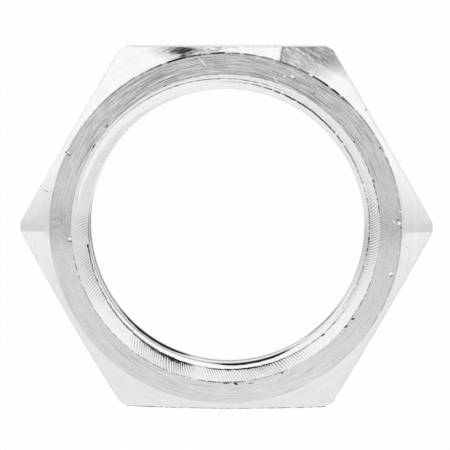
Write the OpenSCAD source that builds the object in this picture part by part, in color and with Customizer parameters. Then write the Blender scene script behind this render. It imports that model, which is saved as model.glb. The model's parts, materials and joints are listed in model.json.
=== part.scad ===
// Stainless steel hexagon locknut for a metric gland or conduit thread.
// The nut is one piece. It lies flat on its rear face, with the thread's axis along +Z.
// The origin is the centre of the rear face. Two of the six flats face +Y and -Y.

/* [Thread] */
// Nominal diameter of the thread, at the root of the nut's grooves
thread_d = 20; // [12:0.5:40]
// Pitch of the thread, from one turn to the next
thread_pitch = 1.5; // [1:0.25:2]
// Angle between the two flanks of a groove
flank_angle = 60; // [50:5:60]
// Direction in which the groove first meets the front countersink, anticlockwise from +X
thread_start = 187; // [0:1:359]

/* [Hexagon] */
// Thickness of metal between the thread's root and each flat, which makes 24 mm across the flats
flat_wall = 2; // [1.5:0.1:5]
// How far the turning takes off each sharp corner, measured along the radius
corner_trim = 0.16; // [0.05:0.01:0.6]
// Height from the rear face to the front face
nut_height = 5; // [4:0.1:10]

/* [Faces] */
// How far the flat ring on a face stays inside the flats
ring_margin = 0.4; // [0.1:0.05:0.7]
// Angle of the chamfer on the hexagon's corners, measured from the face
corner_chamfer = 30; // [15:1:35]
// How far the countersink opens beyond the root of the thread, measured along the radius
countersink_margin = 0.2; // [0.05:0.05:0.6]
// Whole angle of the countersink's cone
countersink_angle = 90; // [80:5:120]

/* [Hidden] */

// Segments round a full circle, and steps of the helix in one turn
$fn = 180;
steps_per_turn = 72;

// The thread's full triangle is cut off by a quarter at the nut's crest and an eighth at its root
triangle_h = thread_pitch / 2 / tan(flank_angle / 2);
root_r = thread_d / 2;
crest_r = root_r - 5 / 8 * triangle_h;
root_flat = thread_pitch / 8;

// Half the groove's width, up and down from its middle, at a given radius
function groove_half_w(r) = root_flat / 2 + (root_r - r) * tan(flank_angle / 2);

// Radius of the hexagon's flats, of its sharp corners and of the turned corners
flat_r = root_r + flat_wall;
sharp_corner_r = flat_r / cos(30);
corner_r = sharp_corner_r - corner_trim;

// Outer and inner radius of the flat ring on each face
ring_r = flat_r - ring_margin;
countersink_r = root_r + countersink_margin;

// How far each cone reaches down from its face
chamfer_depth = (corner_r - ring_r) * tan(corner_chamfer);
countersink_depth = (countersink_r - crest_r) / tan(countersink_angle / 2);

// How far a cutting shape runs past the face that it cuts
past = 1;

// The groove's cutting shape begins a little inside the crests, short of its own next turn
groove_inner_r = crest_r - triangle_h / 5;

// Height of the groove's middle at thread_start, where its upper edge meets the countersink
start_z = nut_height - countersink_depth - groove_half_w(crest_r);

// Whole turns of the groove below and above that place, which end outside both faces
turns_below = ceil(start_z / thread_pitch) + 1;
turns_above = ceil((nut_height - start_z) / thread_pitch) + 1;

// Hexagon bar that the nut is cut from, with two flats square to Y
module hexagon_bar() {
    cylinder(r = sharp_corner_r, h = nut_height, $fn = 6);
}

// Turned outline that takes the corners off the bar and leaves a flat ring on each face
module turned_outline() {
    rotate_extrude()
        polygon([
            [0, 0],
            [ring_r, 0],
            [corner_r, chamfer_depth],
            [corner_r, nut_height - chamfer_depth],
            [ring_r, nut_height],
            [0, nut_height]
        ]);
}

// Hole at the thread's crests, which runs past both faces. Its seam faces -X, near the thread's start.
module crest_bore() {
    rotate([0, 0, 180])
        translate([0, 0, -past])
            cylinder(r = crest_r, h = nut_height + 2 * past);
}

// Countersink that opens upwards at the face it cuts, with its mouth at z = 0
module countersink() {
    mouth_past = past * tan(countersink_angle / 2);
    rotate_extrude()
        polygon([
            [0, -countersink_depth],
            [crest_r, -countersink_depth],
            [countersink_r + mouth_past, past],
            [0, past]
        ]);
}

// One corner of the groove's section, turned and raised along the right-hand helix
function helix_point(step, r, dz) =
    let (turn = step / steps_per_turn, a = thread_start + 360 * turn)
    [r * cos(a), r * sin(a), start_z + thread_pitch * turn + dz];

// The groove's section: crest side below, root below, root above, crest side above
function groove_section(step) = [
    helix_point(step, groove_inner_r, -groove_half_w(groove_inner_r)),
    helix_point(step, root_r, -root_flat / 2),
    helix_point(step, root_r, root_flat / 2),
    helix_point(step, groove_inner_r, groove_half_w(groove_inner_r))
];

// Right-hand helical groove that leaves the thread's crests standing between its turns
module thread_groove() {
    first = -turns_below * steps_per_turn;
    last = turns_above * steps_per_turn;
    end = last - first;
    corners = len(groove_section(first));
    points = [for (step = [first:last]) each groove_section(step)];
    sides = [
        for (i = [0:end - 1])
            for (k = [0:corners - 1])
                let (a = corners * i + k, b = corners * i + (k + 1) % corners)
                each [[a, b, a + corners], [b, b + corners, a + corners]]
    ];
    first_cap = [for (k = [0:corners - 1]) corners - 1 - k];
    last_cap = [for (k = [0:corners - 1]) corners * end + k];
    polyhedron(points = points, faces = concat(sides, [first_cap, last_cap]), convexity = 10);
}

module locknut() {
    color("silver")
        difference() {
            intersection() {
                hexagon_bar();
                turned_outline();
            }
            crest_bore();
            translate([0, 0, nut_height])
                countersink();
            mirror([0, 0, 1])
                countersink();
            thread_groove();
        }
}

locknut();
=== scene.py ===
"""Visual model of a turned stainless steel locknut, and the plain studio that it is shown in.

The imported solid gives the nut's size and place. The nut is modelled once more at that size, with what the plain
solid lacks: the helical thread, the chatter that the countersinking left, broken edges, nicks and scratches.
"""

from __future__ import annotations

import json
import logging
import math
from collections.abc import Iterable, Sequence
from dataclasses import dataclass
from enum import IntEnum

import bmesh
import bpy
from bmesh.types import BMEdge, BMesh, BMFace, BMVert
from mathutils import Matrix, Vector, noise

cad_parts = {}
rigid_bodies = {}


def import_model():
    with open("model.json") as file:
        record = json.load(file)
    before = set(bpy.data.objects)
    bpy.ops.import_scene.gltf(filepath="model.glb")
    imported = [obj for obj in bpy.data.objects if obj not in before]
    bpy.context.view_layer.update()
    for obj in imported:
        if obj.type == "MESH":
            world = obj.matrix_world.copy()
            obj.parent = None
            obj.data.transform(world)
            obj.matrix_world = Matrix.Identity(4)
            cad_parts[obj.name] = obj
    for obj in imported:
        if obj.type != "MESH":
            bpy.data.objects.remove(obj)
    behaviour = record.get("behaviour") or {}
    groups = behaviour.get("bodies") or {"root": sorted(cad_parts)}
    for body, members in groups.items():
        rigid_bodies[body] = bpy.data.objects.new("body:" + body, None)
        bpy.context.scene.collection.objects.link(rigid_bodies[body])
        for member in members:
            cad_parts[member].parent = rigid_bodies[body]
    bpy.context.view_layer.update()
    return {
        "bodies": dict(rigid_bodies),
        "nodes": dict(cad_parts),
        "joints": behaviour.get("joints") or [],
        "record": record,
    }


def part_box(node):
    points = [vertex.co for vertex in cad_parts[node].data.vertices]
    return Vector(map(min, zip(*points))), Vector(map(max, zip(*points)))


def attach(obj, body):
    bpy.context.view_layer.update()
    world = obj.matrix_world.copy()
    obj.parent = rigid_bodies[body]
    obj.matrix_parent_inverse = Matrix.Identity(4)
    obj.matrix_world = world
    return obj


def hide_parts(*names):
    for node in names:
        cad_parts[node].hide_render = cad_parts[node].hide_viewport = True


LOG = logging.getLogger("locknut")

MM = 0.001
NODE = "locknut"
PIECE = "locknut_turned"
IMAGE_PX = 450

Colour = tuple[float, float, float]


# Sizes


class Zone(IntEnum):
    """Surfaces of the nut that have a finish of their own, in the order of its material slots."""

    RING = 0
    CORNER = 1
    COUNTERSINK = 2
    THREAD = 3
    FLAT = 4
    SCAR = 5
    # Nicks, painted near black for the shadow in them.
    NICK = 6


@dataclass(frozen=True)
class NutSizes:
    """Sizes of the plain nut, in metres."""

    height: float
    flat_r: float
    corner_r: float
    crest_r: float
    ring_r: float = 11.6 * MM
    countersink_r: float = 10.2 * MM
    corner_angle: float = math.radians(30)

    @classmethod
    def from_frame(cls, frame: dict) -> NutSizes:
        """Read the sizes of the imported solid.


        Returns:
            The sizes that the visual model keeps.
        """
        low, high = (Vector(corner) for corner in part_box(NODE))
        thread = next(mount for mount in frame["record"]["mounts"] if mount["name"] == "thread")
        return cls(
            height=high.z - low.z,
            flat_r=(high.y - low.y) / 2,
            corner_r=(high.x - low.x) / 2,
            crest_r=thread["dims"]["r_mm"] * MM,
        )

    @property
    def countersink_depth(self) -> float:
        """Depth of each countersink, whose wall leans 45 degrees."""
        return self.countersink_r - self.crest_r

    def chamfer_z(self, radius: float) -> float:
        """Height of the front chamfer's surface at a radius."""
        return self.height - (radius - self.ring_r) * math.tan(self.corner_angle)


@dataclass(frozen=True)
class ThreadSizes:
    """Sizes of the right-hand thread, in metres and radians."""

    pitch: float = 1.5 * MM
    root_r: float = 10.0 * MM
    half_flank: float = math.radians(30)
    start: float = math.radians(187)
    root_round: float = 0.05 * MM
    steps_per_turn: int = 180

    def half_width(self, radius: float) -> float:
        """Half the groove's width along the axis at a radius."""
        return self.pitch / 16 + (self.root_r - radius) * math.tan(self.half_flank)

    @property
    def rise(self) -> float:
        """How far the groove's edge moves outwards on the countersink in one turn."""
        return self.pitch / (1 + math.tan(self.half_flank))

    def start_z(self, sizes: NutSizes) -> float:
        """Height of the groove's middle where its upper edge first meets the front countersink."""
        return sizes.height - sizes.countersink_depth - self.half_width(sizes.crest_r)


@dataclass(frozen=True)
class Chatter:
    """Slanted waves that the countersinking tool left, in metres and radians."""

    waves: int = 350
    depth: float = 2.5e-6
    lag: float = 0.55
    rows: int = 8
    quiet_from: float = math.radians(25)
    quiet_to: float = math.radians(172)

    def strength(self, angle: float) -> float:
        """How strong the waves are in a direction, from 0 to 1."""
        angle %= 2 * math.pi
        soft = math.radians(14)
        inside = min((angle - self.quiet_from) / soft, (self.quiet_to - angle) / soft)
        fade = min(max(inside, 0.0), 1.0)
        patchy = 0.75 + 0.35 * noise.noise(Vector((3.1 * math.cos(angle), 3.1 * math.sin(angle), 4.0)))
        return (1.0 - fade) * patchy


@dataclass(frozen=True)
class Mark:
    """A nick or scratch cut into the front, in millimetres and degrees.

    The direction is measured anticlockwise from +X, and the depth from the surface at the mark's middle.
    """

    x: float
    y: float
    length: float
    width: float
    turn: float
    depth: float
    zone: Zone = Zone.SCAR


# Tables of direction: degrees anticlockwise from +X, each with its value from 0 to 1

Stops = tuple[tuple[float, float], ...]

# Painted reflection: how strongly the ring's turned lines show in each direction, as its streaked reflection shows
# them.
RING_CONTRAST: Stops = (
    (0, 0.15), (20, 0.25), (35, 0.6), (60, 1.0), (125, 1.0), (145, 0.65), (163, 0.3), (200, 0.2), (230, 0.3),
    (290, 0.3), (310, 0.2), (360, 0.15),
)
# Painted reflection: the ring's tone by direction, darker towards +Y, as its streaked reflection falls.
RING_REFLECTION_SHADE: Stops = (
    (0, 0.50), (8, 0.46), (15, 0.44), (35, 0.46), (50, 0.48), (60, 0.60), (90, 0.58), (120, 0.57), (135, 0.51),
    (150, 0.44), (165, 0.40), (176, 0.50), (183, 0.48), (188, 0.34), (210, 0.30), (240, 0.32), (270, 0.25),
    (300, 0.22), (330, 0.32), (350, 0.36), (360, 0.50),
)
# Painted shade: a broken dark line of shadow and dark reflection along the ring's outer edge.
RING_OUTER_SHADE: Stops = (
    (0, 0.15), (15, 0.3), (25, 0.5), (30, 0.4), (45, 0.5), (49, 0.9), (51, 1.0), (57, 1.0), (62, 0.7), (71, 0.7),
    (74, 0.35), (83, 0.6), (87, 0.8), (88, 1.0), (91, 1.0), (92, 0.9), (95, 0.9), (96, 0.3), (98, 1.0), (102, 0.8),
    (104, 1.0), (110, 1.0), (113, 0.6), (135, 0.35), (150, 0.2), (200, 0.0), (300, 0.0), (335, 0.25), (360, 0.15),
)
# Painted shade: a broken dark line along the ring's inner edge, at the countersink's mouth.
RING_INNER_LINE: Stops = (
    (0, 0.1), (4, 0.2), (7, 0.8), (22, 0.8), (28, 0.4), (60, 0.3), (115, 0.25), (125, 0.2), (184, 0.1), (189, 0.6),
    (199, 0.55), (230, 0.45), (243, 0.5), (250, 0.4), (261, 0.4), (263, 0.85), (274, 0.85), (277, 0.4), (292, 0.4),
    (300, 0.15), (318, 0.2), (326, 0.6), (340, 0.6), (348, 0.15), (360, 0.1),
)
# Painted shade: how dark the strip along the flats' upper edges is in each direction.
RIM_LINE: Stops = (
    (0, 0.15), (30, 0.12), (60, 0.3), (120, 0.3), (178, 0.1), (238, 0.3), (243, 1.0), (298, 1.0), (302, 0.35),
    (356, 0.35), (360, 0.15),
)
# How strong the chatter is in each direction; its dark waves are painted shade over the real waves in the geometry.
CHATTER_STRENGTH: Stops = (
    (0, 1.0), (8, 0.8), (14, 0.3), (26, 0.0), (173, 0.0), (178, 0.3), (182, 0.35), (185, 0.12), (190, 0.25),
    (196, 0.45), (207, 0.45), (213, 0.15), (226, 0.15), (234, 0.5), (242, 0.65), (246, 1.0), (254, 1.0), (259, 0.15),
    (264, 0.45), (275, 0.8), (290, 0.8), (300, 0.6), (306, 0.12), (318, 0.05), (332, 0.1), (345, 0.4), (355, 0.8),
    (360, 1.0),
)
# How far the painted shade line reaches from the thread's torn edge in each direction.
TORN_WIDTH: Stops = (
    (0, 0.2), (90, 0.1), (187, 0.3), (200, 0.2), (228, 0.3), (235, 0.6), (249, 0.9), (254, 0.5), (260, 0.1),
    (268, 0.3), (287, 0.3), (295, 0.15), (360, 0.2),
)
# Painted shade: how dark the line along the thread's edge on the countersink is in each direction.
THREAD_EDGE_SHADE: Stops = (
    (0, 0.1), (64, 0.1), (78, 0.75), (110, 0.7), (128, 0.4), (145, 0.0), (186.99, 0.0), (187, 1.0), (195, 0.6), (228, 0.8), (253, 1.0), (258, 0.5), (268, 1.0), (287, 1.0), (293, 0.5),
    (312, 0.6), (322, 0.4), (335, 0.1), (360, 0.1),
)
# Painted shade: how dark the line along the thread's torn edge on the flank is in each direction.
FLANK_LINE: Stops = (
    (0, 0.8), (12, 0.5), (20, 0.5), (33, 0.6), (40, 0.85), (66, 1.0), (80, 0.5), (95, 0.0), (318, 0.0),
    (330, 0.45), (345, 0.55), (355, 0.9), (360, 0.8),
)
# Painted reflection: how much the countersink's tone darkens in each direction.
COUNTERSINK_REFLECTION_SHADE: Stops = (
    (0, 0.0), (130, 0.0), (145, 0.05), (172, 0.05), (182, 0.08), (200, 0.08), (208, 0.02), (228, 0.0), (240, 0.08),
    (262, 0.04), (272, 0.0), (280, 0.05), (288, 0.1), (300, 0.0), (335, 0.0), (350, 0.02), (360, 0.0),
)
# Painted shade: how dark the upper crest is in each direction.
UPPER_CREST: Stops = (
    (0, 0.05), (170, 0.05), (190, 0.3), (225, 0.35), (252, 0.3), (262, 0.3), (268, 0.6), (272, 1.0), (290, 1.0),
    (299, 0.3), (310, 0.15), (360, 0.05),
)
# Painted shade: how dark the lower crest is in each direction.
LOWER_CREST: Stops = (
    (0, 0.1), (30, 0.0), (165, 0.1), (180, 0.4), (215, 0.4), (226, 0.7), (231, 1.0), (246, 1.0), (256, 0.3),
    (270, 0.35), (290, 0.3), (304, 0.25), (308, 0.42), (320, 0.42), (328, 0.15), (360, 0.1),
)
# Painted reflection: how much the thread's tone darkens in each direction.
THREAD_REFLECTION_SHADE: Stops = (
    (0, 0.38), (15, 0.22), (60, 0.16), (95, 0.08), (120, 0.06), (140, 0.04), (165, 0.02), (178, 0.04), (200, 0.26),
    (225, 0.12), (262, 0.1), (300, 0.15), (345, 0.36), (360, 0.38),
)


# Mesh helpers


def point(radius: float, angle: float, z: float) -> Vector:
    """Point at a radius, a direction and a height."""
    return Vector((radius * math.cos(angle), radius * math.sin(angle), z))


def turn_profile(bm: BMesh, profile: Sequence[Vector], steps: int, zone: Zone) -> list[BMVert]:
    """Spin an open profile round Z, one quarter at a time, and close it to a full turn.

    Args:
        bm: Mesh that the surface is added to.
        profile: Points of the profile, in order.
        steps: Steps in the full circle, a multiple of four.
        zone: Zone that the faces belong to.

    Returns:
        The surface's vertices.
    """
    old_verts, old_faces = set(bm.verts), set(bm.faces)
    row = [bm.verts.new(co) for co in profile]
    edges = [bm.edges.new(pair) for pair in zip(row, row[1:])]
    bmesh.ops.spin(
        bm,
        geom=row + edges,
        cent=(0, 0, 0),
        axis=(0, 0, 1),
        dvec=(0, 0, 0),
        angle=math.pi / 2,
        steps=steps // 4,
        use_merge=False,
        use_duplicate=False,
    )
    quarter = [face for face in bm.faces if face not in old_faces]
    for quadrant in (1, 2, 3):
        copy = bmesh.ops.duplicate(bm, geom=quarter)["geom"]
        bmesh.ops.rotate(
            bm,
            verts=[item for item in copy if isinstance(item, BMVert)],
            cent=(0, 0, 0),
            matrix=Matrix.Rotation(quadrant * math.pi / 2, 3, "Z"),
        )
    made = [vert for vert in bm.verts if vert not in old_verts]
    bmesh.ops.remove_doubles(bm, verts=made, dist=1e-6)
    for face in bm.faces:
        if face not in old_faces:
            face.material_index = zone
    return [vert for vert in bm.verts if vert not in old_verts]


def open_rims(bm: BMesh, z: float) -> list[BMEdge]:
    """Open edges that lie at one height."""
    return [
        edge
        for edge in bm.edges
        if edge.is_boundary and all(abs(vert.co.z - z) < 1e-7 for vert in edge.verts)
    ]


def to_object(bm: BMesh, name: str) -> bpy.types.Object:
    """Make a linked object of a mesh and free the mesh.

    Args:
        bm: Mesh to hand over.
        name: Name of the object and its data.

    Returns:
        The new object.
    """
    data = bpy.data.meshes.new(name)
    bm.to_mesh(data)
    bm.free()
    made = bpy.data.objects.new(name, data)
    bpy.context.collection.objects.link(made)
    return made


# Shader helpers


class Field:
    """A number that varies over a surface, held as the output of a shader node."""

    def __init__(self, tree: bpy.types.NodeTree, socket: bpy.types.NodeSocket) -> None:
        """Keep the node tree and the socket."""
        self.tree = tree
        self.socket = socket

    def _math(self, operation: str, *values: Field | float) -> Field:
        """Add a maths node.

        Args:
            operation: Blender's name of the operation.
            values: The node's inputs, in order.

        Returns:
            The node's output.
        """
        node = self.tree.nodes.new("ShaderNodeMath")
        node.operation = operation
        for socket, value in zip(node.inputs, values):
            feed(self.tree, socket, value)
        return Field(self.tree, node.outputs[0])

    def __add__(self, other: Field | float) -> Field:
        """Sum."""
        return self._math("ADD", self, other)

    def __sub__(self, other: Field | float) -> Field:
        """Difference."""
        return self._math("SUBTRACT", self, other)

    def __radd__(self, other: float) -> Field:
        """Sum with a plain number."""
        return self._math("ADD", other, self)

    def __rsub__(self, other: float) -> Field:
        """Difference from a plain number."""
        return self._math("SUBTRACT", other, self)

    def __mul__(self, other: Field | float) -> Field:
        """Product."""
        return self._math("MULTIPLY", self, other)

    def __truediv__(self, other: Field | float) -> Field:
        """Quotient."""
        return self._math("DIVIDE", self, other)

    def __abs__(self) -> Field:
        """Size without its sign."""
        return self._math("ABSOLUTE", self)

    def root(self) -> Field:
        """Square root."""
        return self._math("SQRT", self)

    def cosine(self) -> Field:
        """Cosine of an angle."""
        return self._math("COSINE", self)

    def wrap(self, low: float, high: float) -> Field:
        """The value brought into a range by whole steps of the range."""
        return self._math("WRAP", self, high, low)

    def most(self, other: Field | float) -> Field:
        """The larger of two values."""
        return self._math("MAXIMUM", self, other)

    def least(self, other: Field | float) -> Field:
        """The smaller of two values."""
        return self._math("MINIMUM", self, other)

    def ramp(self, start: float, end: float) -> Field:
        """Soft step from 0 at one value to 1 at another."""
        node = self.tree.nodes.new("ShaderNodeMapRange")
        node.interpolation_type = "SMOOTHSTEP"
        feed(self.tree, node.inputs["Value"], self)
        node.inputs["From Min"].default_value = start
        node.inputs["From Max"].default_value = end
        return Field(self.tree, node.outputs["Result"])

    def near(self, middle: float, reach: float, full: float = 0.0) -> Field:
        """Soft peak of 1 up to one distance from a value, 0 beyond another."""
        return abs(self - middle).ramp(reach, full)


def feed(tree: bpy.types.NodeTree, socket: bpy.types.NodeSocket, value: Field | float) -> None:
    """Link a field to a socket, or set the socket to a plain number."""
    if isinstance(value, Field):
        tree.links.new(value.socket, socket)
    else:
        socket.default_value = value


class Surface:
    """A metal material under construction, with the nut's own coordinates in millimetres and radians."""

    def __init__(self, name: str) -> None:
        """Start a material with its shader and coordinates.

        Args:
            name: Name of the material.
        """
        self.material = bpy.data.materials.new(name)
        self.material.use_nodes = True
        self.tree = self.material.node_tree
        self.shader = self.tree.nodes["Principled BSDF"]
        self.shader.inputs["Metallic"].default_value = 1.0
        place = self.tree.nodes.new("ShaderNodeTexCoord").outputs["Object"]
        split = self.tree.nodes.new("ShaderNodeSeparateXYZ")
        self.tree.links.new(place, split.inputs[0])
        metres = [Field(self.tree, output) for output in split.outputs]
        self.x, self.y, self.z = (axis * (1 / MM) for axis in metres)
        self.r = (self.x * self.x + self.y * self.y).root()
        self.angle = self.x._math("ARCTAN2", self.y, self.x)

    def around(self, *stops: tuple[float, float]) -> Field:
        """A value that changes with the direction from the axis.

        Args:
            stops: Directions in degrees, anticlockwise from +X and rising, each with its value from 0 to 1.

        Returns:
            The value between the stops.
        """
        node = self.tree.nodes.new("ShaderNodeValToRGB")
        elements = node.color_ramp.elements
        for degrees, _ in stops[2:]:
            elements.new(degrees / 360)
        for element, (degrees, value) in zip(elements, stops):
            element.position = degrees / 360
            element.color = (value, value, value, 1.0)
        feed(self.tree, node.inputs[0], self.angle.wrap(0.0, 2 * math.pi) / (2 * math.pi))
        return Field(self.tree, node.outputs[0])

    def vector(self, *parts: Field | float) -> bpy.types.NodeSocket:
        """Combine three values into a vector."""
        node = self.tree.nodes.new("ShaderNodeCombineXYZ")
        for socket, part in zip(node.inputs, parts):
            feed(self.tree, socket, part)
        return node.outputs[0]

    def radial(self) -> bpy.types.NodeSocket:
        """Direction away from the axis."""
        return self.vector(self.x / self.r, self.y / self.r, 0.0)

    def grain(self, around: float, across: float, seed: float, detail: float = 2.0) -> Field:
        """Noise drawn out round the axis, as turning leaves it.

        Args:
            around: Waves in one radian of the circle.
            across: Waves in one millimetre outwards.
            seed: Offset that sets one grain apart from another.
            detail: Octaves of the noise.

        Returns:
            The noise, from 0 to 1.
        """
        turn = self.vector(
            self.x / self.r * around, self.y / self.r * around, (self.r + self.z * 0.7) * across + seed
        )
        return self.noise(turn, 1.0, detail)

    def mottle(self, scale: float, seed: float, detail: float = 2.0) -> Field:
        """Even noise over the surface.

        Args:
            scale: Waves in one millimetre.
            seed: Offset that sets one pattern apart from another.
            detail: Octaves of the noise.

        Returns:
            The noise, from 0 to 1.
        """
        return self.noise(self.vector(self.x + seed, self.y, self.z), scale, detail)

    def noise(self, vector: bpy.types.NodeSocket, scale: float, detail: float) -> Field:
        """Noise at a vector."""
        node = self.tree.nodes.new("ShaderNodeTexNoise")
        node.noise_dimensions = "3D"
        node.inputs["Scale"].default_value = scale
        node.inputs["Detail"].default_value = detail
        self.tree.links.new(vector, node.inputs["Vector"])
        return Field(self.tree, node.outputs[0])

    def blend(self, amount: Field, under: Colour | bpy.types.NodeSocket, over: Colour) -> bpy.types.NodeSocket:
        """Mix two colours.

        Args:
            amount: Share of the second colour, held between 0 and 1.
            under: First colour.
            over: Second colour.

        Returns:
            The mixed colour.
        """
        node = self.tree.nodes.new("ShaderNodeMix")
        node.data_type = "RGBA"
        node.clamp_factor = True
        feed(self.tree, node.inputs["Factor"], amount)
        if isinstance(under, tuple):
            node.inputs[6].default_value = (*under, 1.0)
        else:
            self.tree.links.new(under, node.inputs[6])
        node.inputs[7].default_value = (*over, 1.0)
        return node.outputs[2]

    def paint(
        self,
        amount: Field,
        bright: Colour,
        dull: Colour,
        painted_shade: Field | None = None,
        painted_shade_colour: Colour = (0.0, 0.0, 0.0),
    ) -> None:
        """Colour the metal between two tones, with painted shade over them.

        Args:
            amount: Share of the dull tone.
            bright: Tone of the clean metal.
            dull: Darker tone of the metal, which in some materials also carries painted reflection.
            painted_shade: Share of the painted shade, if there is any.
            painted_shade_colour: Colour of the painted shade.
        """
        colour = self.blend(amount, bright, dull)
        # The near-black overlay is painted shade: dark lines at edges, on crests and along the thread's edge.
        if painted_shade is not None:
            colour = self.blend(painted_shade, colour, painted_shade_colour)
        self.tree.links.new(colour, self.shader.inputs["Base Color"])

    def rough(self, value: Field | float) -> None:
        """Set the roughness."""
        feed(self.tree, self.shader.inputs["Roughness"], value)

    def relief(self, height: Field) -> None:
        """Bump the surface by a height in micrometres."""
        node = self.tree.nodes.new("ShaderNodeBump")
        node.inputs["Strength"].default_value = 1.0
        node.inputs["Distance"].default_value = 1.0
        feed(self.tree, node.inputs["Height"], height * 1e-6)
        self.tree.links.new(node.outputs[0], self.shader.inputs["Normal"])

    def streak(self, anisotropic: float) -> None:
        """Draw reflections out along the radius, as fine turned lines do."""
        self.shader.inputs["Anisotropic"].default_value = anisotropic
        self.tree.links.new(self.radial(), self.shader.inputs["Tangent"])

    def turn(self, thread: ThreadSizes) -> Field:
        """Share of a whole turn, anticlockwise from the thread's start."""
        return (self.angle - thread.start).wrap(0.0, 2 * math.pi) / (2 * math.pi)


# Finishes


@dataclass(frozen=True)
class TurnedRing:
    """Faced ring: concentric lines, dull smears, painted reflection by direction, and a broken line of painted shade
    at each edge.
    """

    colour: Colour = (0.86, 0.86, 0.85)
    # Darker tone: of the turned lines, and of the painted reflection by direction.
    dull: Colour = (0.26, 0.26, 0.255)
    painted_shade_colour: Colour = (0.015, 0.015, 0.015)

    def material(self, sizes: NutSizes) -> bpy.types.Material:
        """Build the material.

        Args:
            sizes: Sizes of the nut.

        Returns:
            The material.
        """
        skin = Surface("turned_ring")
        broad = skin.grain(2.0, 9.0, 17.0, 2.0)
        fine = skin.grain(7.0, 19.0, 3.0, 2.0)
        scored = skin.grain(4.0, 17.0, 71.0, 1.0).ramp(0.60, 0.68)
        smear = skin.mottle(1.3, 5.0, 4.0)
        contrast = skin.around(*RING_CONTRAST)
        mottled = skin.mottle(4.0, 60.0, 3.0).ramp(0.3, 0.7) * abs(skin.x).ramp(9.8, 10.6) * skin.y.near(0.3, 1.9)
        speckle = (skin.mottle(8.0, 41.0, 2.0) - 0.5) * (1.0 - contrast) * 0.4
        grit = (skin.mottle(16.0, 11.0, 1.0) - 0.5) * 0.9
        lines = (broad - 0.5) * 0.3 + (fine - 0.5) * 1.7 + scored * 0.8 + (smear - 0.5) * 0.5 - 0.05
        # The tone by direction is painted reflection; the lines, smears, speckle and grit are the metal's own.
        tone = lines * contrast + skin.around(*RING_REFLECTION_SHADE) + mottled * 0.16 + speckle + grit * (contrast * 0.6 + 0.4) + 0.045
        broken = skin.grain(26.0, 3.0, 9.0, 3.0).ramp(0.36, 0.50)
        # Broken lines of painted shade along the ring's outer and inner edges.
        outer = skin.r.near(sizes.ring_r / MM, 0.085, 0.04) * skin.around(*RING_OUTER_SHADE)
        inner = skin.r.near(sizes.countersink_r / MM, 0.06, 0.02) * skin.around(*RING_INNER_LINE)
        skin.paint(tone, self.colour, self.dull, outer.most(inner) * broken, self.painted_shade_colour)
        skin.rough(fine * 0.1 + 0.2)
        skin.relief(fine * 0.8 + broad * 1.2 - scored * 0.8)
        skin.streak(0.7)
        return skin.material


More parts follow.
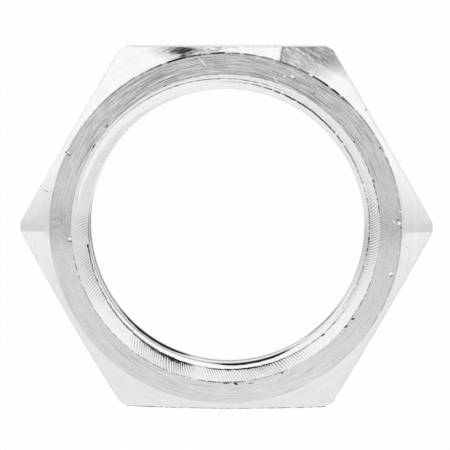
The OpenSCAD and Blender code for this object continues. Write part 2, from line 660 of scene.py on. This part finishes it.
@dataclass(frozen=True)
class TurnedCorner:
    """Chamfered corners: smooth and pale, with dull scuffed patches and a line of painted shade along some edges."""

    colour: Colour = (0.86, 0.86, 0.855)
    dull: Colour = (0.05, 0.05, 0.05)
    painted_shade_colour: Colour = (0.015, 0.015, 0.015)

    def material(self, sizes: NutSizes) -> bpy.types.Material:
        """Build the material.

        Args:
            sizes: Sizes of the nut.

        Returns:
            The material.
        """
        skin = Surface("turned_corner")
        front = skin.z.ramp(sizes.height / MM / 2, sizes.height / MM / 2 + 0.1)
        fine = skin.grain(2.5, 7.0, 7.0)
        cloud = skin.mottle(0.9, 31.0)
        patch = self.smudge(skin).most(self.scuff(skin)) * front
        broken = skin.grain(26.0, 3.0, 9.0, 3.0).ramp(0.36, 0.50)
        # Lines of painted shade: along the flats' upper edges, and the ring's outer line where it runs onto the
        # chamfer.
        rim = self.rim(skin, sizes) * skin.grain(30.0, 0.0, 33.0).ramp(0.3, 0.6)
        ring_edge_shade = skin.r.near(sizes.ring_r / MM, 0.085, 0.04) * skin.around(*RING_OUTER_SHADE) * broken
        tone = (fine - 0.5) * 0.12 + (cloud - 0.5) * 0.1 + patch + skin.y.ramp(0.0, -4.0) * 0.05 + 0.045
        skin.paint(tone, self.colour, self.dull, rim.most(ring_edge_shade) * front, self.painted_shade_colour)
        skin.rough(patch * 0.35 + 0.13)
        skin.relief(fine * 0.6)
        skin.streak(0.6)
        return skin.material

    def smudge(self, skin: Surface) -> Field:
        """Dark smudge and hatched scratches beside the upper left flat's edge."""
        stroke = skin.noise(skin.vector(skin.x * 1.6 + skin.y * 1.2, (skin.y - skin.x * 0.25) * 7.0, 0.0), 1.0, 4.0)
        far = abs(skin.x + 2.8) * 0.45 + abs(skin.y - 11.75) * 1.0
        core = (far + (stroke - 0.5) * 1.3).ramp(0.95, 0.05)
        wide = abs(skin.x + 3.0) * 0.33 + abs(skin.y - 11.7) * 0.8
        halo = (wide + (stroke - 0.5) * 0.7).ramp(1.0, 0.0) * 0.4
        hatched = stroke.ramp(0.44, 0.62) * skin.x.near(-0.9, 2.5) * skin.y.ramp(11.35, 11.6) * 0.55
        return core.most(halo).most(hatched)

    def scuff(self, skin: Surface) -> Field:
        """Grey scratched patch that ends sharply at its left side and fades towards the lower right."""
        along = skin.x * 0.5 + skin.y * 0.866
        across = skin.y * 0.5 - skin.x * 0.866
        drag = skin.noise(skin.vector(across * 1.6, along * 6.0, 3.0), 1.0, 4.0)
        cross = skin.noise(skin.vector((skin.x - skin.y) * 1.0, (skin.x + skin.y) * 5.0, 8.0), 1.0, 3.0)
        ragged = skin.x + (cross - 0.5) * 0.5 + (skin.y - 11.3) * -0.12
        start = ragged.ramp(3.55, 3.68)
        border = ragged.near(3.66, 0.16) * 0.35
        top = (along + (drag - 0.5) * 0.7).ramp(12.35, 12.75) * 0.16
        fade = (skin.x * 0.55 + (11.6 - skin.y) * 1.25 + (drag - 0.5) * 2.2).ramp(6.3, 4.1)
        body = fade * (drag.ramp(0.32, 0.62) * 0.24 + cross.ramp(0.4, 0.6) * 0.14 + 0.19)
        return start * (body + top) + border * skin.y.ramp(10.9, 11.2)

    def rim(self, skin: Surface, sizes: NutSizes) -> Field:
        """Thin strip of painted shade along the flats' upper edges."""
        across = abs(skin.y)
        for turn in (1, -1):
            lean = skin.x * (math.cos(math.radians(30)) * turn) + skin.y * 0.5
            across = across.most(abs(lean))
        return across.ramp(sizes.flat_r / MM - 0.07, sizes.flat_r / MM - 0.03) * skin.around(*RIM_LINE)


@dataclass(frozen=True)
class CutCountersink:
    """Countersink: bright between chatter waves painted dark as shade, darkened by direction with painted reflection,
    and torn along the thread's edge with a line of painted shade.
    """

    colour: Colour = (0.97, 0.97, 0.965)
    # Near black: the chatter's waves painted as shade, and the painted reflection by direction.
    dull: Colour = (0.03, 0.03, 0.03)
    painted_shade_colour: Colour = (0.01, 0.01, 0.01)

    def material(self, sizes: NutSizes, thread: ThreadSizes, chatter: Chatter) -> bpy.types.Material:
        """Build the material.

        Args:
            sizes: Sizes of the nut.
            thread: Sizes of the thread.
            chatter: Waves that the tool left.

        Returns:
            The material.
        """
        skin = Surface("cut_countersink")
        front = skin.z.ramp(sizes.height / MM / 2, sizes.height / MM / 2 + 0.1)
        mouth = sizes.countersink_r / MM
        lag = (skin.r - mouth) * (chatter.lag / mouth)
        sway = skin.noise(skin.vector(skin.x * 0.5, skin.y * 0.5, 2.0), 1.0, 1.0) * 0.06
        # Waves of the chatter, which the geometry also has; painted near black, as shade in their slopes.
        wave = 0.5 - ((skin.angle - lag + sway) * chatter.waves).cosine() * 0.5
        turn = skin.turn(thread)
        beyond = skin.r - turn * (thread.rise / MM) - sizes.crest_r / MM
        patchy = skin.mottle(1.1, 90.0, 2.0).ramp(0.3, 0.62) * 0.5 + 0.5
        strength = skin.around(*CHATTER_STRENGTH) * patchy * (skin.r.ramp(mouth - 0.1, mouth - 0.8) * 0.6 + 0.4)
        # The thread's edge is torn in the geometry; the dark line along it is painted shade, where the groove falls
        # into shadow.
        torn = skin.grain(30.0, 6.0, 9.0, 3.0)
        reach = skin.around(*TORN_WIDTH) * 0.3
        line = (beyond / (reach + 0.03) + (torn - 0.5) * 1.6).ramp(1.0, 0.45) * skin.around(*THREAD_EDGE_SHADE)
        line = line * beyond.ramp(-0.15, -0.05) * skin.r.ramp(10.08, 10.0)
        # Painted reflection: the countersink's tone by direction.
        painted_reflection = skin.around(*COUNTERSINK_REFLECTION_SHADE) + (skin.grain(1.5, 5.0, 55.0) - 0.5) * 0.06
        # A line of painted shade along the countersink's mouth.
        mouth_line = skin.r.near(mouth, 0.05, 0.02) * skin.around(*RING_INNER_LINE)
        painted_shade = line.most(mouth_line * skin.grain(26.0, 3.0, 9.0, 3.0).ramp(0.36, 0.56)) * front
        skin.paint(wave.ramp(0.25, 0.8) * strength * front + painted_reflection, self.colour, self.dull, painted_shade, self.painted_shade_colour)
        skin.rough(skin.grain(6.0, 8.0, 2.0) * 0.08 + 0.4)
        return skin.material


@dataclass(frozen=True)
class CutThread:
    """Thread: pale flanks with fine lines along the helix, painted reflection by direction, and crests and a line
    along the torn edge painted dark as shade in places.
    """

    colour: Colour = (0.92, 0.92, 0.91)
    # Darker tone: of the fine lines, and of the painted reflection by direction.
    dull: Colour = (0.30, 0.30, 0.295)
    painted_shade_colour: Colour = (0.01, 0.01, 0.01)

    def material(self, sizes: NutSizes, thread: ThreadSizes) -> bpy.types.Material:
        """Build the material.

        Args:
            sizes: Sizes of the nut.
            thread: Sizes of the thread.

        Returns:
            The material.
        """
        skin = Surface("cut_thread")
        fine = skin.grain(3.0, 12.0, 13.0)
        level = skin.z - skin.turn(thread) * (thread.pitch / MM)
        upper = level.ramp(thread.start_z(sizes) / MM - thread.pitch / MM, thread.start_z(sizes) / MM - thread.pitch / MM + 0.1)
        above = skin.r - sizes.crest_r / MM
        # Crests painted near black, as shadow and dark reflection near the bore's edge.
        high = skin.around(*UPPER_CREST) * upper
        low = skin.around(*LOWER_CREST) * (1.0 - upper)
        shade = high + low
        dark = (above - shade * 0.12 + (skin.grain(26.0, 5.0, 70.0) - 0.5) * 0.06).ramp(0.05, 0.0) * (shade * 1.6).least(1.0)
        # A dark line along the thread's torn edge, on the flank: the tear is in the geometry, the dark is painted
        # shade.
        edge = above - skin.turn(thread) * (thread.rise / MM) + (skin.grain(34.0, 0.0, 5.0, 2.0) - 0.5) * 0.12
        torn = (edge - skin.y.ramp(4.0, 1.0) * 0.07).near(-0.19, 0.08, 0.03) * skin.around(*FLANK_LINE) * skin.grain(30.0, 0.0, 21.0, 2.0).ramp(0.3, 0.5)
        dots = skin.grain(110.0, 0.0, 40.0, 1.0).ramp(0.4, 0.55).most(skin.y.ramp(2.5, 4.0))
        painted_shade = dark.most(torn * dots * upper)
        # The thread's tone by direction is painted reflection.
        skin.paint(fine.ramp(0.45, 0.85) * 0.2 + skin.around(*THREAD_REFLECTION_SHADE), self.colour, self.dull, painted_shade, self.painted_shade_colour)
        skin.rough(fine * 0.1 + 0.15)
        skin.relief(fine * 0.8)
        return skin.material


@dataclass(frozen=True)
class DrawnFlat:
    """Flats of the drawn bar: dull lines along the bar and light scuffs across them."""

    colour: Colour = (0.82, 0.82, 0.81)
    dull: Colour = (0.66, 0.66, 0.65)

    def material(self) -> bpy.types.Material:
        """Build the material."""
        skin = Surface("drawn_flat")
        side = skin.vector(skin.x * 9.0, skin.y * 9.0, skin.z * 0.5)
        lines = skin.noise(side, 1.0, 3.0)
        scuff = skin.mottle(1.2, 50.0, 4.0).ramp(0.5, 0.75)
        skin.paint(lines.ramp(0.35, 0.75) * 0.7 + scuff * 0.3, self.colour, self.dull)
        skin.rough(lines * 0.1 + scuff * 0.1 + 0.22)
        skin.relief(lines * 3.0)
        return skin.material


@dataclass(frozen=True)
class BareMark:
    """Metal laid open by a scratch, or a nick painted near black for the shadow in it."""

    name: str
    colour: Colour
    roughness: float

    def material(self) -> bpy.types.Material:
        """Build the material."""
        skin = Surface(self.name)
        grain = skin.mottle(20.0, 8.0)
        dark = tuple(part * 0.7 for part in self.colour)
        skin.paint(grain.ramp(0.4, 0.8), self.colour, dark)
        skin.rough(grain * 0.1 + self.roughness)
        return skin.material


# The nut


@dataclass
class Locknut:
    """The nut: a turned hexagon blank with countersinks, a cut thread and its marks."""

    sizes: NutSizes
    thread: ThreadSizes
    chatter: Chatter
    marks: Sequence[Mark]
    outline_steps: int = 400
    edge_break: float = 0.03 * MM
    tear: float = 0.035 * MM

    def build(self) -> bpy.types.Object:
        """Make the nut and dress it.

        Returns:
            The finished object.
        """
        blank = to_object(self.blank(), "blank")
        cutter = to_object(self.cutters(), "cutters")
        materials = self.materials()
        for part in (blank, cutter):
            for material in materials:
                part.data.materials.append(material)
        nut = self.cut(blank, cutter)
        self.soften(nut)
        return nut

    def materials(self) -> list[bpy.types.Material]:
        """Materials of the zones, in order."""
        return [
            TurnedRing().material(self.sizes),
            TurnedCorner().material(self.sizes),
            CutCountersink().material(self.sizes, self.thread, self.chatter),
            CutThread().material(self.sizes, self.thread),
            DrawnFlat().material(),
            BareMark("fresh_scar", (0.98, 0.98, 0.98), 0.3).material(),
            # Nicks are painted near black: painted shadow of their burrs.
            BareMark("painted_shadow_nick", (0.05, 0.05, 0.05), 0.5).material(),
        ]

    def blank(self) -> BMesh:
        """Turn the blank, without its thread.

        Returns:
            A closed mesh.
        """
        bm = bmesh.new()
        self.add_sleeve(bm)
        self.add_outline(bm)
        for z in (self.sizes.height, 0.0):
            ring = bmesh.ops.triangle_fill(bm, edges=open_rims(bm, z), use_beauty=True)
            for item in ring["geom"]:
                if isinstance(item, BMFace):
                    item.material_index = Zone.RING
        self.saw_flats(bm)
        bmesh.ops.recalc_face_normals(bm, faces=bm.faces)
        self.break_edges(bm)
        return bm

    def add_sleeve(self, bm: BMesh) -> None:
        """Add the bore and both countersinks, with the chatter in them."""
        size = self.sizes
        rows = self.chatter.rows
        radii = [size.countersink_r - size.countersink_depth * i / rows for i in range(rows + 1)]
        front = [
            point(r, self.lag(r), size.height - size.countersink_r + r)
            for r in radii
        ]
        rear = [point(r, self.lag(size.crest_r), size.countersink_r - r) for r in reversed(radii)]
        sleeve = turn_profile(bm, front + rear, 4 * self.chatter.waves, Zone.COUNTERSINK)
        for face in bm.faces:
            if all(abs(vert.co.xy.length - size.crest_r) < 1e-7 for vert in face.verts):
                face.material_index = Zone.THREAD
        for vert in sleeve:
            self.roughen(vert)

    def lag(self, radius: float) -> float:
        """Angle by which a wave of the chatter trails at a radius of the countersink."""
        return self.chatter.lag * (radius - self.sizes.countersink_r) / self.sizes.countersink_r

    def roughen(self, vert: BMVert) -> None:
        """Sink one point of a countersink into its wave of the chatter."""
        size = self.sizes
        radius = vert.co.xy.length
        inset = (radius - size.crest_r) / size.countersink_depth
        if inset < 1e-4 or inset > 1 - 1e-4:
            return
        angle = math.atan2(vert.co.y, vert.co.x)
        side = 1 if vert.co.z > size.height / 2 else -1
        lag = self.lag(radius) if side > 0 else 0.0
        wave = 0.5 - 0.5 * math.cos(self.chatter.waves * (angle - lag))
        edge = min(1.0, 4 * inset, 4 * (1 - inset))
        sink = self.chatter.depth * self.chatter.strength(angle) * wave * edge
        outward = vert.co.xy.normalized()
        vert.co += Vector((outward.x, outward.y, -side)) * (sink / math.sqrt(2))

    def add_outline(self, bm: BMesh) -> None:
        """Add the outside of the turned blank, from ring to ring."""
        size = self.sizes
        top = size.height
        inner = size.ring_r - 2 * self.edge_break
        drop = self.edge_break * math.tan(size.corner_angle)
        half = [
            (inner, top),
            (size.ring_r - self.edge_break / 2, top),
            (size.ring_r + self.edge_break, top - drop),
            (size.corner_r, size.chamfer_z(size.corner_r)),
        ]
        profile = half + [(r, top - z) for r, z in reversed(half)]
        outline = turn_profile(bm, [point(r, 0, z) for r, z in profile], self.outline_steps, Zone.CORNER)
        keep = {vert for vert in outline}
        for face in bm.faces:
            if not all(vert in keep for vert in face.verts):
                continue
            if abs(face.normal.z) < 0.1:
                face.material_index = Zone.FLAT
            elif abs(face.normal.z) > 0.92:
                face.material_index = Zone.RING

    def saw_flats(self, bm: BMesh) -> None:
        """Cut the six flats and close them."""
        for side in range(6):
            angle = math.radians(30 + 60 * side)
            normal = point(1, angle, 0)
            cut = bmesh.ops.bisect_plane(
                bm,
                geom=bm.verts[:] + bm.edges[:] + bm.faces[:],
                dist=1e-9,
                plane_co=normal * self.sizes.flat_r,
                plane_no=normal,
                clear_outer=True,
            )["geom_cut"]
            edges = [item for item in cut if isinstance(item, BMEdge)]
            flat = bmesh.ops.edgeloop_fill(bm, edges=edges)["faces"]
            for face in flat:
                face.material_index = Zone.FLAT

    def break_edges(self, bm: BMesh) -> None:
        """Round the edges round each flat."""
        edges = [
            edge
            for edge in bm.edges
            if edge.calc_face_angle(0.0) > math.radians(12)
            and any(face.material_index == Zone.FLAT for face in edge.link_faces)
        ]
        bmesh.ops.bevel(
            bm,
            geom=edges,
            offset=self.edge_break,
            offset_type="OFFSET",
            segments=2,
            profile=0.5,
            affect="EDGES",
            material=-1,
        )

    def cutters(self) -> BMesh:
        """Make the thread's groove and the marks as closed shapes to cut with.

        Returns:
            The cutting mesh.
        """
        bm = bmesh.new()
        self.add_groove(bm)
        for mark in self.marks:
            self.add_mark(bm, mark)
        bmesh.ops.recalc_face_normals(bm, faces=bm.faces)
        return bm

    def add_groove(self, bm: BMesh) -> None:
        """Add the thread's groove, which climbs past both faces."""
        thread, size = self.thread, self.sizes
        inner = size.crest_r - 0.26 * MM
        shoulder = thread.root_r - thread.root_round
        corners = [
            (inner, -thread.half_width(inner)),
            (shoulder, -thread.half_width(shoulder)),
            (thread.root_r, -thread.root_round),
            (thread.root_r, thread.root_round),
            (shoulder, thread.half_width(shoulder)),
            (inner, thread.half_width(inner)),
        ]
        start = thread.start_z(size)
        below = math.ceil(start / thread.pitch) + 1
        turns = below + math.ceil((size.height - start) / thread.pitch) + 1
        section = bm.faces.new(
            [
                bm.verts.new(point(r, thread.start, start - below * thread.pitch + dz))
                for r, dz in corners
            ]
        )
        steps = thread.steps_per_turn * turns
        bmesh.ops.spin(
            bm,
            geom=[section],
            cent=(0, 0, 0),
            axis=(0, 0, 1),
            dvec=(0, 0, thread.pitch * turns / steps),
            angle=2 * math.pi * turns,
            steps=steps,
            use_merge=False,
            use_duplicate=False,
        )
        for face in bm.faces:
            face.material_index = Zone.THREAD

    def add_mark(self, bm: BMesh, mark: Mark) -> None:
        """Add one mark as a slim ball that dips into the surface."""
        size = self.sizes
        radius = math.hypot(mark.x, mark.y) * MM
        if radius < size.countersink_r:
            surface, tilt = size.height - (size.countersink_r - radius), -math.pi / 4
        elif radius <= size.ring_r:
            surface, tilt = size.height, 0.0
        else:
            surface, tilt = size.chamfer_z(radius), size.corner_angle
        old = set(bm.faces)
        ball = bmesh.ops.create_icosphere(bm, subdivisions=2, radius=1.0)["verts"]
        rise = mark.width / 2
        place = (
            Matrix.Translation(Vector((mark.x * MM, mark.y * MM, surface)))
            @ Matrix.Rotation(math.atan2(mark.y, mark.x), 4, "Z")
            @ Matrix.Rotation(tilt, 4, "Y")
            @ Matrix.Rotation(math.radians(mark.turn) - math.atan2(mark.y, mark.x), 4, "Z")
            @ Matrix.Translation(Vector((0, 0, (rise - mark.depth) * MM)))
            @ Matrix.Diagonal(Vector((mark.length / 2 * MM, mark.width / 2 * MM, rise * MM, 1.0)))
        )
        bmesh.ops.transform(bm, matrix=place, verts=ball)
        for face in bm.faces:
            if face not in old:
                face.material_index = mark.zone

    def cut(self, blank: bpy.types.Object, cutter: bpy.types.Object) -> bpy.types.Object:
        """Cut the groove and the marks out of the blank.

        Args:
            blank: The turned blank.
            cutter: The closed shapes to cut with.

        Returns:
            The cut nut as a plain mesh object.
        """
        cutting = blank.modifiers.new("cut", "BOOLEAN")
        cutting.operation = "DIFFERENCE"
        cutting.solver = "MANIFOLD"
        cutting.material_mode = "INDEX"
        cutting.object = cutter
        graph = bpy.context.evaluated_depsgraph_get()
        data = bpy.data.meshes.new_from_object(blank.evaluated_get(graph), depsgraph=graph)
        data.name = PIECE
        for spare in (blank, cutter):
            mesh = spare.data
            bpy.data.objects.remove(spare)
            bpy.data.meshes.remove(mesh)
        nut = bpy.data.objects.new(PIECE, data)
        bpy.context.collection.objects.link(nut)
        return nut

    def thread_edge(self, angle: float) -> float:
        """Radius of the groove's edge on the front countersink in a direction."""
        turn = (angle - self.thread.start) % (2 * math.pi) / (2 * math.pi)
        return self.sizes.crest_r + self.thread.rise * turn

    def tear_edge(self, bm: BMesh) -> None:
        """Make the thread's edge on the front countersink ragged, along the countersink's wall."""
        for vert in bm.verts:
            zones = {face.material_index for face in vert.link_faces}
            outward = vert.co.xy.normalized()
            off = vert.co.xy.length - self.thread_edge(math.atan2(vert.co.y, vert.co.x))
            if {Zone.COUNTERSINK, Zone.THREAD} <= zones and vert.co.z > self.sizes.height / 2 and abs(off) < 0.08 * MM:
                ragged = noise.noise(vert.co * 4000) + 0.6 * noise.noise(vert.co * 11000)
                vert.co += Vector((outward.x, outward.y, 1.0)) * (ragged * self.tear)

    def soften(self, nut: bpy.types.Object) -> None:
        """Shade the nut smooth up to its real edges."""
        bm = bmesh.new()
        bm.from_mesh(nut.data)
        bmesh.ops.dissolve_degenerate(bm, edges=bm.edges, dist=1e-7)
        spare = [vert for vert in bm.verts if len(vert.link_edges) == 2]
        bmesh.ops.dissolve_verts(bm, verts=spare)
        stray = [edge for edge in bm.edges if edge.is_wire]
        bmesh.ops.delete(bm, geom=stray, context="EDGES")
        self.tear_edge(bm)
        bmesh.ops.triangulate(bm, faces=bm.faces)
        for face in bm.faces:
            face.smooth = True
        for edge in bm.edges:
            edge.smooth = edge.calc_face_angle(0.0) < math.radians(22)
        open_edges = sum(not edge.is_manifold for edge in bm.edges)
        LOG.info("volume %.1f mm3, %d open edges", bm.calc_volume() / MM**3, open_edges)
        bm.to_mesh(nut.data)
        bm.free()


# The studio


@dataclass(frozen=True)
class Studio:
    """A white table under a soft, pale surround."""

    distance: float = 0.2
    tilt: float = math.radians(5.6)
    tilt_towards: float = math.radians(68)
    px_per_mm: float = 15.16
    centre_px: tuple[float, float] = (225.3, 229.0)
    sensor: float = 36.0
    table: float = 3.0

    def build(self, sizes: NutSizes) -> None:
        """Make the table, the light and the camera."""
        self.add_table()
        self.light()
        self.add_camera(sizes)

    def add_table(self) -> None:
        """Lay the white table that the nut rests on."""
        bm = bmesh.new()
        bmesh.ops.create_grid(bm, x_segments=1, y_segments=1, size=self.table)
        table = to_object(bm, "table")
        material = bpy.data.materials.new("white_table")
        material.use_nodes = True
        tree = material.node_tree
        tree.nodes.clear()
        path = tree.nodes.new("ShaderNodeLightPath")
        seen = Field(tree, path.outputs["Is Camera Ray"]).most(
            Field(tree, path.outputs["Is Glossy Ray"]).most(Field(tree, path.outputs["Is Transmission Ray"]))
        )
        paper = tree.nodes.new("ShaderNodeBsdfDiffuse")
        paper.inputs["Color"].default_value = (0.9, 0.9, 0.9, 1.0)
        white = tree.nodes.new("ShaderNodeEmission")
        mix = tree.nodes.new("ShaderNodeMixShader")
        feed(tree, mix.inputs[0], seen * 0.95)
        tree.links.new(paper.outputs[0], mix.inputs[1])
        tree.links.new(white.outputs[0], mix.inputs[2])
        out = tree.nodes.new("ShaderNodeOutputMaterial")
        tree.links.new(mix.outputs[0], out.inputs["Surface"])
        table.data.materials.append(material)

    def light(self) -> None:
        """Surround the table with a pale studio that is brightest low down."""
        world = bpy.data.worlds.new("studio")
        world.use_nodes = True
        bpy.context.scene.world = world
        tree = world.node_tree
        split = tree.nodes.new("ShaderNodeSeparateXYZ")
        tree.links.new(tree.nodes.new("ShaderNodeTexCoord").outputs["Generated"], split.inputs[0])
        x, y, z = (Field(tree, output) for output in split.outputs)
        over_camera = z.ramp(0.97, 1.0) * 0.12
        far_side = y.ramp(-0.5, 0.5) * 0.12
        lean = y / abs(x).most(0.001)
        flag = lean.ramp(-0.165, -0.145) * lean.ramp(0.32, -0.1) * z.ramp(0.96, 0.7) * 0.24
        level = (1.0 - over_camera + far_side) * (1.0 - flag)
        back = tree.nodes["Background"]
        back.inputs["Color"].default_value = (1.0, 1.0, 1.0, 1.0)
        feed(tree, back.inputs["Strength"], level)

    def add_camera(self, sizes: NutSizes) -> None:
        """Set the camera above the nut, where the photograph was taken from."""
        data = bpy.data.cameras.new("camera")
        data.sensor_width = self.sensor
        data.lens = self.px_per_mm * self.distance / MM * self.sensor / IMAGE_PX
        data.shift_x = (IMAGE_PX / 2 - self.centre_px[0]) / IMAGE_PX
        data.shift_y = (self.centre_px[1] - IMAGE_PX / 2) / IMAGE_PX
        data.clip_start = 0.01
        camera = bpy.data.objects.new("camera", data)
        bpy.context.collection.objects.link(camera)
        away = point(math.sin(self.tilt), self.tilt_towards, math.cos(self.tilt))
        side = Vector((0, 1, 0)).cross(away).normalized()
        turn = Matrix((side, away.cross(side), away)).transposed().to_4x4()
        camera.matrix_world = Matrix.Translation(away * self.distance + Vector((0, 0, sizes.height))) @ turn
        bpy.context.scene.camera = camera
        bpy.context.scene.view_settings.view_transform = "Standard"


MARKS: tuple[Mark, ...] = (
    # Scratches and dents on the ring
    Mark(-1.50, 11.00, 0.88, 0.07, -48, 0.03),
    Mark(3.27, 9.90, 0.48, 0.07, -56, 0.03),
    Mark(3.89, 10.07, 0.20, 0.12, 20, 0.04),
    Mark(4.41, 10.06, 0.34, 0.20, -35, 0.04),
    Mark(4.55, 9.95, 0.14, 0.08, -35, 0.03, Zone.NICK),
    Mark(5.82, 8.98, 0.12, 0.10, 0, 0.04, Zone.NICK),
    Mark(10.93, -2.94, 0.34, 0.24, 40, 0.06),
    Mark(10.96, -3.06, 0.26, 0.08, 25, 0.05, Zone.NICK),
    Mark(11.44, 0.42, 0.26, 0.20, -50, 0.06),
    Mark(11.56, 0.12, 0.10, 0.10, 0, 0.04, Zone.NICK),
    Mark(11.12, 0.52, 0.30, 0.07, -50, 0.03),
    Mark(11.38, 0.62, 0.22, 0.06, 50, 0.03, Zone.NICK),
    Mark(11.52, 1.19, 0.14, 0.12, 0, 0.04),
    Mark(11.34, 2.27, 0.12, 0.10, 0, 0.04),
    Mark(11.40, -1.52, 0.14, 0.10, 80, 0.04),
    Mark(10.17, 5.38, 0.14, 0.10, -60, 0.04, Zone.NICK),
    Mark(-10.51, 5.06, 0.16, 0.09, 60, 0.04, Zone.NICK),
    Mark(-10.31, 4.87, 0.20, 0.08, -45, 0.04, Zone.NICK),
    Mark(-10.38, 5.05, 0.22, 0.09, -50, 0.04),
    Mark(-5.75, 8.70, 0.20, 0.05, 60, 0.02),
    Mark(-5.55, 8.83, 0.22, 0.05, 60, 0.02),
    Mark(-5.35, 8.96, 0.22, 0.05, 60, 0.02),
    Mark(-5.15, 9.09, 0.20, 0.05, 60, 0.02),
    # Nicks along the mouth of the countersink
    Mark(-10.30, -0.68, 0.24, 0.16, 10, 0.06),
    Mark(-10.27, -0.86, 0.34, 0.06, -8, 0.04, Zone.NICK),
    Mark(-8.66, 5.46, 0.40, 0.08, 55, 0.04, Zone.NICK),
    Mark(-8.52, 5.60, 0.30, 0.10, 55, 0.04),
    Mark(-7.80, 6.78, 0.30, 0.08, 50, 0.04, Zone.NICK),
    Mark(-3.97, 9.42, 0.34, 0.06, 22, 0.03, Zone.NICK),
    Mark(8.46, 5.77, 0.16, 0.10, -55, 0.04, Zone.NICK),
    Mark(9.78, 3.20, 0.22, 0.09, -70, 0.04, Zone.NICK),
    Mark(9.99, 2.01, 0.12, 0.10, 0, 0.04, Zone.NICK),
    Mark(0.70, -10.30, 0.30, 0.14, -20, 0.06, Zone.NICK),
    Mark(0.05, -10.28, 0.42, 0.06, 0, 0.04, Zone.NICK),
    Mark(1.70, -10.26, 0.40, 0.05, 8, 0.03, Zone.NICK),
    Mark(3.76, -9.56, 0.20, 0.09, 15, 0.05, Zone.NICK),
    Mark(7.98, -6.44, 0.30, 0.12, 40, 0.06, Zone.NICK),
    Mark(8.44, -5.94, 0.24, 0.12, 20, 0.06, Zone.NICK),
    # Torn places where the thread breaks into the countersink
    Mark(-9.16, -1.30, 0.26, 0.18, -60, 0.08, Zone.NICK),
    Mark(-8.98, -1.34, 0.24, 0.20, -70, 0.10),
    Mark(-9.03, -1.62, 0.36, 0.07, -70, 0.05, Zone.NICK),
    Mark(7.18, -6.28, 0.26, 0.12, 45, 0.06, Zone.NICK),
    Mark(6.46, -7.09, 0.32, 0.12, 40, 0.06, Zone.NICK),
    # Scratches and dots on the chamfered corners
    Mark(-11.92, 2.63, 0.70, 0.10, -24, 0.045),
    Mark(-11.84, 2.46, 0.50, 0.04, -24, 0.03, Zone.NICK),
    Mark(5.62, 10.16, 0.30, 0.14, -30, 0.05),
    Mark(6.14, 10.74, 0.74, 0.05, -68, 0.03),
    Mark(6.24, 10.74, 0.62, 0.04, -68, 0.03),
    Mark(6.21, 10.03, 0.24, 0.07, 60, 0.03),
    Mark(6.41, 9.86, 0.24, 0.09, -50, 0.03),
    Mark(4.77, 10.62, 0.16, 0.08, 0, 0.03),
    Mark(4.69, 11.84, 0.26, 0.06, -50, 0.03),
    Mark(11.98, -1.17, 0.07, 0.07, 0, 0.03, Zone.NICK),
    Mark(9.24, 7.86, 0.14, 0.08, 30, 0.03, Zone.NICK),
)


def main() -> None:
    """Build the nut and its studio."""
    logging.basicConfig(level=logging.INFO, format="%(name)s: %(message)s")
    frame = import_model()
    sizes = NutSizes.from_frame(frame)
    nut = Locknut(sizes, ThreadSizes(), Chatter(), MARKS).build()
    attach(nut, "root")
    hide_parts(NODE)
    LOG.info("%s: %d faces", nut.name, len(nut.data.polygons))
    Studio().build(sizes)


if __name__ == "__main__":
    main()
